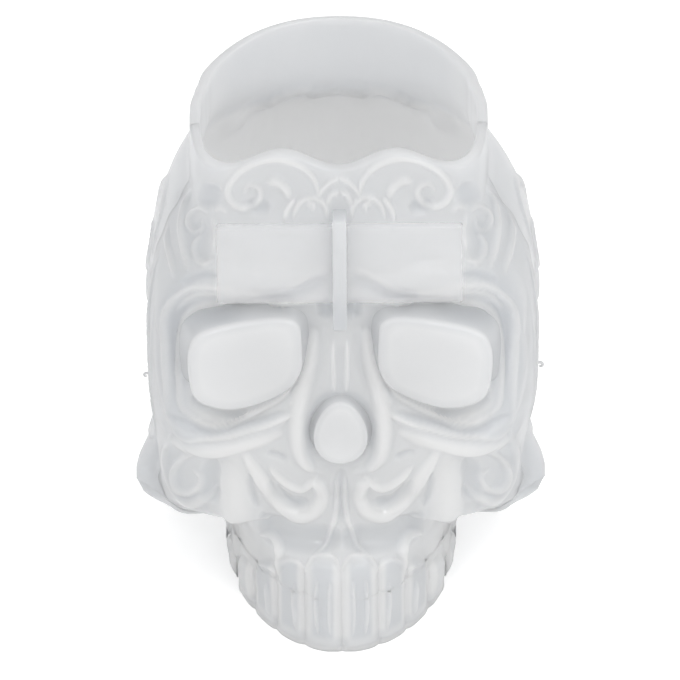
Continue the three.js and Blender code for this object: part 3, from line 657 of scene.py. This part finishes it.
def half_shell(side, columns, outer_levels, inner_levels, crowd):
    """One half of the mould as a closed grid: each column runs up the outside, over the rim, down
    the inside, along the floor to the parting and back under the base. side is -1 for the face half
    and 1 for the rear half, and a crowd below 0 draws the columns together towards the middle.
    Returns points[column, row] in drawn millimetres, how thick the skin looks there with painted light
    and shade added, and the counts of rows outside, over the rim and inside."""
    u = np.linspace(-1, 1, columns)
    u = u + crowd * np.sin(np.pi * u) / np.pi
    wide = step(outer_levels, *CHEEK_SLIT_STARTS) * (1 - step(outer_levels, *CHEEK_SLIT_ENDS))
    half_gap = 0.5 * mix(SLIT_GAP, CHEEK_SLIT_GAP, wide)

    def wall(radius, levels, gap, spread):
        """One side of the skin from slit to slit, from the arch under the base, or the floor over
        it, up to the rim. Teeth swell along the radius, and hollows, wider by spread, go straight back."""
        limit = slit_turn(radius, levels, PARTING_Y + slit_wave(levels) + side * gap)
        turn = np.outer(u, limit) if side < 0 else np.outer(u, math.pi - limit) + math.pi
        turn = (turn + math.pi) % (2 * math.pi) - math.pi
        foot_y = AXIS_Y - radius(turn[:, :1], ARCH_MEASURED_AT) * np.cos(turn[:, :1])
        foot = arch_height(foot_y, 0 if spread == 0 else FLOOR)
        low = levels[0]
        foot = np.maximum(foot - low, 0)
        z = levels + foot * (RIM_HEIGHT - levels) / (RIM_HEIGHT - low)
        lip = np.clip((levels - LIP_FOOT) / (RIM_HEIGHT - LIP_FOOT), 0, None)
        z = z + lip * rim_lift(turn)
        r = radius(turn, z)
        x = r * np.sin(turn)
        y = AXIS_Y - r * np.cos(turn)
        swell, milk = teeth(turn, y, z)
        y = y + hollow_depth(turn, x, z, spread)
        x = x + swell * np.sin(turn)
        y = y - swell * np.cos(turn)
        return np.stack([x, y, z], -1), milk

    outer, milk = wall(body_radius, outer_levels, half_gap, 0.0)
    normals = grid_normals(outer)
    rise, fine = relief(outer, normals)
    outer = outer + normals * rise[..., None]
    inner_gap = np.interp(inner_levels, outer_levels, half_gap)
    inner = wall(inner_radius, inner_levels[::-1], inner_gap[::-1], HOLLOW_SPREAD)[0][:, ::-1]
    normals = -grid_normals(inner)
    inner_rise, inner_fine = relief(inner, normals)
    inner = inner + normals * (INNER_RELIEF * inner_rise)[..., None]
    over = np.linspace(0, math.pi, RIM_ROWS + 2)[1:-1]
    share = ((1 - np.cos(over)) / 2)[:, None]
    rim = mix(outer[:, -1:], inner[:, :1], share)
    rim = rim + np.sin(over)[:, None] ** RIM_BLUNTNESS * np.array([0, 0, RIM_CROWN])
    parting = PARTING_Y + side * half_gap[0]
    run = np.linspace(0, 1, FLOOR_ROWS)
    floor_y = mix(inner[:, -1:, 1], parting, run[1:])
    floor_z = np.maximum(arch_height(floor_y, FLOOR), FLOOR)
    floor = np.stack([np.broadcast_to(inner[:, -1:, 0], floor_y.shape), floor_y, floor_z], -1)
    under_y = mix(parting, outer[:, :1, 1], run[:-1])
    under_x = np.broadcast_to(outer[:, :1, 0], under_y.shape)
    under = np.stack([under_x, under_y, arch_height(under_y, 0)], -1)
    points = np.concatenate([outer, rim, inner, floor, under], axis=1)
    thick = np.full(points.shape[:2], PLAIN_MILK)
    # Painted shade: the skin is made clearer and darker towards the sides of the head.
    painted_side_shade = SIDE_PAINTED_SHADE * step(np.abs(outer[..., 0]), *SIDES_START)
    thick[:, :outer.shape[1]] += fine * RELIEF_MILK + milk - painted_side_shade
    # Painted light: the sockets are made whiter, so that the shade in them looks lighter.
    if side < 0:
        thick[:, :outer.shape[1]] += SOCKET_PAINTED_LIGHT * socket_share(outer[..., 0], outer[..., 2], 0.0)
    first = outer.shape[1] + rim.shape[1]
    # Painted shade: the plain upper back wall inside the collar, which is lit from above, is made clearer
    # and darker.
    shaded_plain_wall = step(inner[..., 2], *COLLAR_STARTS) * (1 - step(np.abs(inner[..., 0]), *COLLAR_PLAIN_SIDE))
    shaded_plain_wall = shaded_plain_wall * (side > 0)
    # Painted light on the inside of the head below the collar, which would otherwise lie in shade.
    painted_cavity_light = 1 - step(inner[..., 2], *CAVITY_ENDS)
    thick[:, first:first + inner.shape[1]] += (CAVITY_PAINTED_LIGHT * painted_cavity_light - COLLAR_PAINTED_SHADE * shaded_plain_wall
                                               + INNER_RELIEF_MILK * np.abs(inner_fine))
    return points, thick, (outer.shape[1], rim.shape[1], inner.shape[1])


def place(points):
    """Drawn millimetres to the frame's metres, kept inside the box of the CAD model."""
    return np.clip((points + [0, DRAWN_TO_FRAME_Y, 0]) * MM, cad_low, cad_high).tolist()


def weld(mesh):
    """Merges points that coincide, turns every face outwards and shades it smooth."""
    work = bmesh.new()
    work.from_mesh(mesh)
    bmesh.ops.remove_doubles(work, verts=work.verts, dist=2e-6)
    bmesh.ops.recalc_face_normals(work, faces=work.faces)
    for face in work.faces:
        face.smooth = True
    work.to_mesh(mesh)
    work.free()


def silicone_mesh(name, points, faces, thick):
    """A mesh of these drawn points and faces, with how thick the silicone looks at each point, painted
    light and shade included.
    """
    mesh = bpy.data.meshes.new(name)
    mesh.from_pydata(place(points.reshape(-1, 3)), [], faces)
    attribute = mesh.attributes.new("thick", "FLOAT", "POINT")
    attribute.data.foreach_set("value", np.clip(thick, 0, 1).ravel().astype(np.float32))
    weld(mesh)
    return mesh


def shell_mesh(name, points, thick, counts):
    """The closed grid as a mesh: quads round each column, and the cut faces at its two ends made of
    strips from three outer rows to one inner row."""
    columns, rows = points.shape[:2]
    outer, rim, inner = counts
    column = np.arange(columns - 1)[:, None] * rows
    row = np.arange(rows)[None]
    after = (row + 1) % rows
    quads = np.stack([column + row, column + rows + row, column + rows + after, column + after], -1)
    faces = quads.reshape(-1, 4).tolist()
    stride = outer // inner
    for base in (0, (columns - 1) * rows):
        top = base + outer - 1
        first = base + outer + rim
        faces.append(list(range(top, first + 1)))
        for k in range(inner - 1):
            start = top - stride * k
            faces.append([first + k, first + k + 1] + [start - stride + j for j in range(stride + 1)])
        faces.append([first + inner - 1] + list(range(base, top - stride * (inner - 1) + 1)))
    return silicone_mesh(name, points, faces, thick)


class Value:
    """A socket of a shader tree. Arithmetic on it adds Math nodes, and node adds any other node."""

    def __init__(self, socket):
        self.socket = socket

    def node(self, kind, settings=None, inputs=None, output=0):
        """Adds a node of this kind: its settings first, then the values or links of its sockets."""
        tree = self.socket.id_data
        made = tree.nodes.new(kind)
        for name, setting in (settings or {}).items():
            setattr(made, name, setting)
        for name, value in (inputs or {}).items():
            if isinstance(value, Value):
                tree.links.new(made.inputs[name], value.socket)
            else:
                made.inputs[name].default_value = value
        return Value(made.outputs[output])

    def feed(self, shader, name):
        """Links this socket to a shader's socket of this name."""
        self.socket.id_data.links.new(shader.inputs[name], self.socket)

    def math(self, operation, first, second):
        """Adds a Math node on two values, each a socket or a number."""
        return self.node("ShaderNodeMath", {"operation": operation}, {0: first, 1: second})

    def __add__(self, other):
        return self.math("ADD", self, other)

    __radd__ = __add__

    def __mul__(self, other):
        return self.math("MULTIPLY", self, other)

    __rmul__ = __mul__

    def __sub__(self, other):
        return self.math("SUBTRACT", self, other)

    def __rsub__(self, other):
        return self.math("SUBTRACT", other, self)


def set_inputs(shader, values):
    """Sets a shader's sockets to plain values."""
    for name, value in values.items():
        shader.inputs[name].default_value = value


CLEAR = (0.54, 0.57, 0.61, 1)
WHITE = (0.84, 0.84, 0.83, 1)
PASSED_LIGHT = (0.96, 0.96, 0.963, 1)
CLOUD_MILK = 0.16


def silicone(name, clear_alpha, white_alpha, white, glow):
    """Milky silicone: whiter and less clear where the attribute thick says there is more of it, which
    also holds painted light and shade, with faint clouds in the milk, a satin skin and a very fine
    ripple.
    clearest and the milkiest of it, and glow is the share of light that passes and spreads."""
    material = bpy.data.materials.new(name)
    material.use_nodes = True
    shader = material.node_tree.nodes["Principled BSDF"]
    tree = Value(shader.outputs["BSDF"])
    here = tree.node("ShaderNodeTexCoord", output="Object")
    thick = tree.node("ShaderNodeAttribute", {"attribute_name": "thick"}, output="Fac")
    cloud = tree.node("ShaderNodeTexNoise", {}, {"Vector": here, "Scale": 70.0, "Detail": 3.0}, "Fac")
    milk = thick + (cloud - 0.5) * CLOUD_MILK
    color = tree.node("ShaderNodeMix", {"data_type": "RGBA"}, {0: milk, 6: CLEAR, 7: white}, 2)
    grain = tree.node("ShaderNodeTexNoise", {}, {"Vector": here, "Scale": 700.0, "Detail": 2.0}, "Fac")
    ripple = tree.node("ShaderNodeBump", {}, {"Strength": 0.15, "Distance": 0.0002, "Height": grain},
                       "Normal")
    color.feed(shader, "Base Color")
    alpha = clear_alpha + milk * (white_alpha - clear_alpha)
    alpha.feed(shader, "Alpha")
    ripple.feed(shader, "Normal")
    set_inputs(shader, {"Roughness": 0.3, "Coat Weight": 0.7, "Coat Roughness": 0.1, "IOR": 1.41,
                        "Subsurface Weight": 1, "Subsurface Radius": (1, 1, 1), "Subsurface Scale": 0.012})
    through_it = tree.node("ShaderNodeBsdfTranslucent", {}, {"Color": PASSED_LIGHT})
    both = tree.node("ShaderNodeMixShader", {}, {0: glow, 1: tree, 2: through_it})
    both.feed(material.node_tree.nodes["Material Output"], "Surface")
    return material


skin_silicone = silicone("silicone_skin", clear_alpha=0.72, white_alpha=0.92, white=WHITE, glow=0.46)


def add_piece(mesh, material, body, slot, *nodes):
    """Links a mesh as a piece that rides on a body, if one is named, and stands for the CAD nodes."""
    piece = bpy.data.objects.new(mesh.name, mesh)
    bpy.context.scene.collection.objects.link(piece)
    mesh.materials.append(material)
    if body:
        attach(piece, body)
    if nodes:
        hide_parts(*nodes)
    return piece


# Rows are closest over the teeth and the cheeks, and there are three outside for each one inside, as
# the cut faces need
COLUMNS = 300
TOP_ROW = 129.3
face_outer_levels = row_levels((0, 2.4, 5), (2.4, 48, 105), (48, 104, 88), (104, TOP_ROW, 42))
face_inner_levels = row_levels((TOP_ROW, 104, 14), (104, 48, 26), (48, FLOOR, 40))
face_grid = half_shell(-1, COLUMNS, face_outer_levels, face_inner_levels, crowd=-0.35)
add_piece(shell_mesh("face_skin", *face_grid), skin_silicone, "face_half", "skin", "face_shell")

# Rear half: the skin
# The same casting behind the slits: the back of the collar, the back of the head, and the ears that
# swell out low down behind the slits.
rear_outer_levels = row_levels((0, 42, 72), (42, 104, 66), (104, TOP_ROW, 42))
rear_inner_levels = row_levels((TOP_ROW, 104, 14), (104, 42, 22), (42, FLOOR, 24))
rear_grid = half_shell(1, COLUMNS, rear_outer_levels, rear_inner_levels, crowd=0.0)
add_piece(shell_mesh("rear_skin", *rear_grid), skin_silicone, "rear_half", "skin", "rear_shell")

# Eye feet
# Thick blocks of the same silicone that grow out of the sockets' floors. Their flat tops lie in one
# plane with those of the other feet, which leans back by 10 degrees.
BLOCK_WHITE = (0.72, 0.725, 0.73, 1)
FOOT_LEAN = math.radians(10)
FOOT_PLANE_Y = -50.0
FOOT_PLANE_Z = 45.0


def skin_depth(x, z):
    """y of the face's skin behind the points (x, z), in the direction in which the skin's x is theirs."""
    side = halve(np.zeros(x.shape), np.full(x.shape, SLIT_TURN), 30,
                 lambda turn: body_radius(np.copysign(turn, x), z) * np.sin(turn) < np.abs(x))
    turn = np.copysign(side, x)
    return AXIS_Y - body_radius(turn, z) * np.cos(turn) + hollow_depth(turn, x, z, 0)


def foot_plane(z):
    """y, at the height z, of the leaning plane that the feet's tops lie in."""
    return FOOT_PLANE_Y + (z - FOOT_PLANE_Z) * math.tan(FOOT_LEAN)


# The round and the sides are less white than the top, as painted shade against the light from above.
TOP_MILK, EDGE_SHADED_MILK, SIDE_SHADED_MILK, BURIED_MILK = 1.0, 0.85, 0.75, 0.5
SIDE_SHADE_FADE = 0.6


def foot_rings(outline, rounding, flare, bury, sink=0.0, shaded_root_milk=0.4):
    """A block under an outline of (x, z): its flat top in the feet's plane or sink below it, a
    quarter round of the rounding's radius, then sides that spread by flare * depth^2 down to their
    root, which lies as deep as bury in the skin. Its whiteness carries painted shade: it is lower on
    the round than on the top, and it fades down the sides to the root's whiteness, so that they look
    clearer and darker than the top."""
    middle = outline.mean(0)
    away = outline - middle
    away = away / np.linalg.norm(away, axis=1, keepdims=True)
    rings, white = [], []

    def ring(points, deep, whiteness):
        """Adds a ring of these (x, z), this deep under the block's top."""
        y = foot_plane(points[:, 1]) + sink + deep
        rings.append(np.stack([points[:, 0], y, points[:, 1]], -1))
        white.append(np.broadcast_to(whiteness, len(points)))

    for share in (0, 0.3, 0.6, 0.85):
        ring(middle + (outline - rounding * away - middle) * share, 0.0, TOP_MILK)
    for angle in np.linspace(0, math.pi / 2, 5):
        inset, deep = rounding * (1 - math.sin(angle)), rounding * (1 - math.cos(angle))
        ring(outline - inset * away, deep, EDGE_SHADED_MILK)
    top = rings[-1][:, 1]
    for share in np.linspace(0, 1, 12)[1:]:
        spread = outline + np.reshape(flare, (-1, 1)) * share ** 2 * away
        ring(spread, 0.0, mix(SIDE_SHADED_MILK, shaded_root_milk, share ** SIDE_SHADE_FADE))
        root = skin_depth(spread[:, 0], spread[:, 1]) + bury
        rings[-1][:, 1] = mix(top, root, share)
    ring(np.repeat(middle[None], len(outline), 0), 0.0, BURIED_MILK)
    rings[-1][:, 1] = rings[-2][:, 1].mean()
    return np.array(rings), np.array(white)


def rings_mesh(name, rings, white):
    """Closed rings of points as a mesh, with quads between each ring and the next."""
    count, around = rings.shape[:2]
    ring = np.arange(count - 1)[:, None] * around
    point = np.arange(around)[None]
    after = (point + 1) % around
    quads = np.stack([ring + point, ring + after, ring + around + after, ring + around + point], -1)
    return silicone_mesh(name, rings, quads.reshape(-1, 4).tolist(), white)


foot_silicone = silicone("silicone_block", clear_alpha=0.45, white_alpha=0.97, white=BLOCK_WHITE, glow=0.25)
eye_foot_line = [
    (9.6, 86), (10.4, 91.6), (15, 93.6), (26, 92.4), (35.4, 89.6), (38.4, 85), (38.4, 78), (36.8, 72.6),
    (32, 70), (26, 69.6), (19, 71.6), (12.6, 75.2), (9.8, 80), (9.6, 86),
]

# The foot's lower edge, where its root spreads least, and its upper outer corner, whose root gets
# painted shade that leaves it clearer and darker
eye_foot = through(eye_foot_line, 0.7)[:-1]
lower = 1 - step(eye_foot[:, 1], 70.5, 77)
corner = step(eye_foot[:, 1], 86, 91) * step(eye_foot[:, 0], 21, 30)
for side, name in ((1, "left_eye_foot"), (-1, "right_eye_foot")):
    rings, white = foot_rings(eye_foot * [side, 1], rounding=1.1, flare=4.2 - 3.2 * lower - 1.5 * corner,
                              bury=2.0, shaded_root_milk=0.55 - 0.5 * corner)
    add_piece(rings_mesh(name + "_block", rings, white), foot_silicone, "face_half", "block", name)

# Nose foot
# An egg-shaped block of the same silicone that grows out of the nose opening, narrower at its top.
# Its flat face lies in the feet's plane.
NOSE_FOOT_UP = 63.2
NOSE_FOOT_HALF_WIDTH = 6.8
NOSE_FOOT_HALF_HEIGHT = 8.2
angle = np.linspace(0, 2 * math.pi, 72, endpoint=False)
outline = np.stack([NOSE_FOOT_HALF_WIDTH * np.cos(angle) * (1 - NOSE_TAPER * np.sin(angle)),
                    NOSE_FOOT_UP + NOSE_FOOT_HALF_HEIGHT * np.sin(angle)], -1)
rings, white = foot_rings(outline, rounding=0.7, flare=2.2, bury=1.8)
add_piece(rings_mesh("nose_foot_block", rings, white), foot_silicone, "face_half", "block", "nose_foot")

# Forehead foot
# A thin plate in the feet's plane, see-through enough to show the brows behind it, on an upright
# keel down to the root of the nose.
PLATE_WHITE = (0.92, 0.92, 0.92, 1)
PLATE_THICK = 2.6
PLATE_EDGE = 0.4
SIDE_STEP = 1.5


def rectangle(left, right, bottom, top, corner):
    """Outline of a rectangle with quarter-round corners, its sides divided every SIDE_STEP or so."""
    centres = [(right - corner, top - corner), (left + corner, top - corner),
               (left + corner, bottom + corner), (right - corner, bottom + corner)]
    arcs = []
    for k, centre in enumerate(centres):
        angle = (k + np.linspace(0, 1, 5)) * math.pi / 2
        arcs.append(np.array(centre) + corner * np.stack([np.cos(angle), np.sin(angle)], -1))
    points = []
    for arc, following in zip(arcs, arcs[1:] + arcs[:1]):
        steps = max(1, int(np.linalg.norm(following[0] - arc[-1]) / SIDE_STEP))
        share = np.linspace(0, 1, steps, endpoint=False)[1:, None]
        points += [arc, mix(arc[-1], following[0], share)]
    return np.vstack(points)


# The plate's rings from its front to its back: how far each is drawn in from the outline, its share
# of the outline, and its depth
plate = rectangle(left=-31.1, right=31.1, bottom=97.8, top=118.0, corner=0.6)
corner_angles = np.linspace(0, math.pi / 2, 4)
plate_levels = [(0.0, share, 0.0) for share in (0, 0.4, 0.8)]
rounding = [(PLATE_EDGE * (1 - math.sin(a)), PLATE_EDGE * (1 - math.cos(a))) for a in corner_angles]
plate_levels += [(inset, 1, deep) for inset, deep in rounding]
plate_levels += [(deep, 1, PLATE_THICK - inset) for inset, deep in rounding]
plate_levels += [(0.0, share, PLATE_THICK) for share in (0.8, 0.4, 0)]
middle = plate.mean(0)
rings = []
for inset, share, deep in plate_levels:
    flat = middle + (plate - middle) * share - inset * np.sign(plate - middle)
    if share == 0:
        flat = np.repeat(middle[None], len(plate), 0)
    rings.append(np.stack([flat[:, 0], foot_plane(flat[:, 1]) + deep, flat[:, 1]], -1))
rings = np.array(rings)
plate_silicone = silicone("silicone_plate", clear_alpha=0.09, white_alpha=0.12, white=PLATE_WHITE,
                          glow=0.04)
add_piece(rings_mesh("forehead_plate", rings, np.full(rings.shape[:2], 1.0)), plate_silicone,
          "face_half", "block", "forehead_foot")

# The keel stands a little proud of the plate, and is clearest at the root of the nose
keel_outline = rectangle(left=-1.8, right=1.8, bottom=90.6, top=119.4, corner=0.5)
keel, white = foot_rings(keel_outline, rounding=0.3, flare=0.7, bury=2.0, sink=-0.1)
white = white * mix(0.2, 0.65, step(keel[..., 2], 90, 104))
add_piece(rings_mesh("forehead_keel", keel, white), foot_silicone, "face_half", "block")

# Uncut strip
# The strip of base that stays whole between the two halves when the slits are cut. It is a hinge of
# the same silicone.
STRIP_HALF_WIDTH = 27.0
STRIP_REACH = 1.5
STRIP_LOW, STRIP_MIDDLE, STRIP_HIGH = 7.3, 8.5, 9.7
STRIP_MILK = 0.5

# Its section in (y, z), carried along x and closed to a point at both ends
strip_loop = rectangle(PARTING_Y - STRIP_REACH, PARTING_Y + STRIP_REACH, STRIP_LOW, STRIP_HIGH, corner=0.5)
strip_x = np.linspace(-STRIP_HALF_WIDTH, STRIP_HALF_WIDTH, 40)
strip_x = np.concatenate([strip_x[:1], strip_x, strip_x[-1:]])
loop_share = np.ones(len(strip_x))
loop_share[[0, -1]] = 0
centre = np.array([PARTING_Y, STRIP_MIDDLE])
loops = centre + (strip_loop - centre) * loop_share[:, None, None]
rings = np.concatenate([np.broadcast_to(strip_x[:, None, None], loops.shape[:2] + (1,)), loops], -1)
strip = add_piece(rings_mesh("uncut_strip", rings, np.full(rings.shape[:2], STRIP_MILK)),
                  skin_silicone, None, "skin")
strip_y = (PARTING_Y + DRAWN_TO_FRAME_Y) * MM
strip_y + 0.0008
strip_y - 0.0008
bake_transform(strip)

# Flash
# Small curls of silicone that squeezed out of the casting mould's seam. They were left hanging on the
# edges of the slits.
FLASH_MILK = 0.6
CURL_TURN = 5.2
CURL_SHRINK = 0.55
CURL_ADVANCE = 0.6
CURL_GIRTH = 0.42
CURL_BLUNTNESS = 0.35


def curl_rings(where, size):
    """A curl that starts at a point and turns away from the head: a spiral in x and z whose radius
    shrinks evenly while it moves on in y, and round it a tube whose girth is sin^0.35 of the way
    along, so that it closes at both ends."""
    along = np.linspace(0, 1, 26)[:, None]
    turn = along * CURL_TURN
    reach = size * (1 - CURL_SHRINK * along)
    out = math.copysign(1, where[0])
    line = np.array(where) + np.concatenate([
        out * (size - reach * np.cos(turn)), CURL_ADVANCE * along * size, reach * np.sin(turn)], -1)
    forward = np.gradient(line, axis=0)
    forward = forward / np.linalg.norm(forward, axis=1, keepdims=True)
    across = np.cross(forward, [0, 1, 0.3])
    across = across / np.linalg.norm(across, axis=1, keepdims=True)
    above = np.cross(forward, across)
    girth = CURL_GIRTH * size * np.sin(np.pi * along) ** CURL_BLUNTNESS
    around = np.linspace(0, 2 * math.pi, 10, endpoint=False)[None, :, None]
    circle = np.cos(around) * across[:, None] + np.sin(around) * above[:, None]
    return line[:, None] + girth[:, None] * circle


FLASH = [
    ("left_flash", "rear_half", (50.3, -2.6, 57.4), 1.0),
    ("right_flash", "rear_half", (-49.0, -2.4, 55.0), 0.8),
    ("right_ear_flash", "rear_half", (-52.4, 4.0, 20.6), 0.7),
]
for name, body, where, size in FLASH:
    rings = curl_rings(where, size)
    add_piece(rings_mesh(name, rings, np.full(rings.shape[:2], FLASH_MILK)), skin_silicone, body, "skin")

# Floor and light
# A plain white table under the mould, and soft light from everywhere, with more of it from above and
# from the picture's right.
TABLE_REACH = 6.0
TABLE_TOP = -0.0002
TABLE_GLOW = 0.45
floor_mesh = bpy.data.meshes.new("floor")
floor_mesh.from_pydata([(x * TABLE_REACH, y * TABLE_REACH, TABLE_TOP) for x, y in
                        ((-1, -1), (1, -1), (1, 1), (-1, 1))], [], [(0, 1, 2, 3)])
floor = bpy.data.objects.new("floor", floor_mesh)
bpy.context.scene.collection.objects.link(floor)
table = bpy.data.materials.new("white_table")
table.use_nodes = True
floor_mesh.materials.append(table)
shader = table.node_tree.nodes["Principled BSDF"]
set_inputs(shader, {"Base Color": (0.8, 0.8, 0.8, 1), "Roughness": 0.9, "Emission Color": (1, 1, 1, 1)})
tree = Value(shader.outputs["BSDF"])
seen = tree.node("ShaderNodeLightPath", output="Is Camera Ray")
glossy = tree.node("ShaderNodeLightPath", output="Is Glossy Ray")
passed = tree.node("ShaderNodeLightPath", output="Is Transmission Ray")
shown = seen.math("MAXIMUM", seen, glossy.math("MAXIMUM", glossy, passed))
(shown * TABLE_GLOW).feed(shader, "Emission Strength")

# A white room, dimmer behind and below than in front and above, and plain white to the camera
BRIGHT_SIDE = (0.1, -0.77, 0.63)
world = bpy.data.worlds.new("studio")
bpy.context.scene.world = world
world.use_nodes = True
background = world.node_tree.nodes["Background"]
set_inputs(background, {"Color": (1, 1, 1, 1)})
tree = Value(background.outputs["Background"])
way = tree.node("ShaderNodeTexCoord", output="Generated")
facing = tree.node("ShaderNodeVectorMath", {"operation": "DOT_PRODUCT"}, {0: way, 1: BRIGHT_SIDE}, "Value")
lift = tree.node("ShaderNodeMapRange", {"interpolation_type": "SMOOTHSTEP"},
                 {"Value": facing, "From Min": -0.7, "From Max": 0.9, "To Min": 0.42, "To Max": 1.14})
seen = tree.node("ShaderNodeLightPath", output="Is Camera Ray")
tree.node("ShaderNodeMix", {"data_type": "FLOAT"}, {0: seen, 2: lift, 3: 1.0}).feed(background, "Strength")


def softbox(name, where, width, height, power):
    """An area lamp at this place that faces the middle of the head."""
    data = bpy.data.lights.new(name, "AREA")
    data.shape = "RECTANGLE"
    data.size, data.size_y = width, height
    data.energy = power
    lamp = bpy.data.objects.new(name, data)
    lamp.location = where
    lamp.rotation_euler = (Vector(where) - Vector(AIM)).to_track_quat("Z", "Y").to_euler()
    bpy.context.scene.collection.objects.link(lamp)


softbox("softbox_above", where=(0.55, -0.85, 1.2), width=0.9, height=0.7, power=5.0)
softbox("softbox_left", where=(-0.35, -1.0, 1.0), width=0.08, height=0.3, power=1.6)
bpy.context.scene.view_settings.view_transform = "Standard"
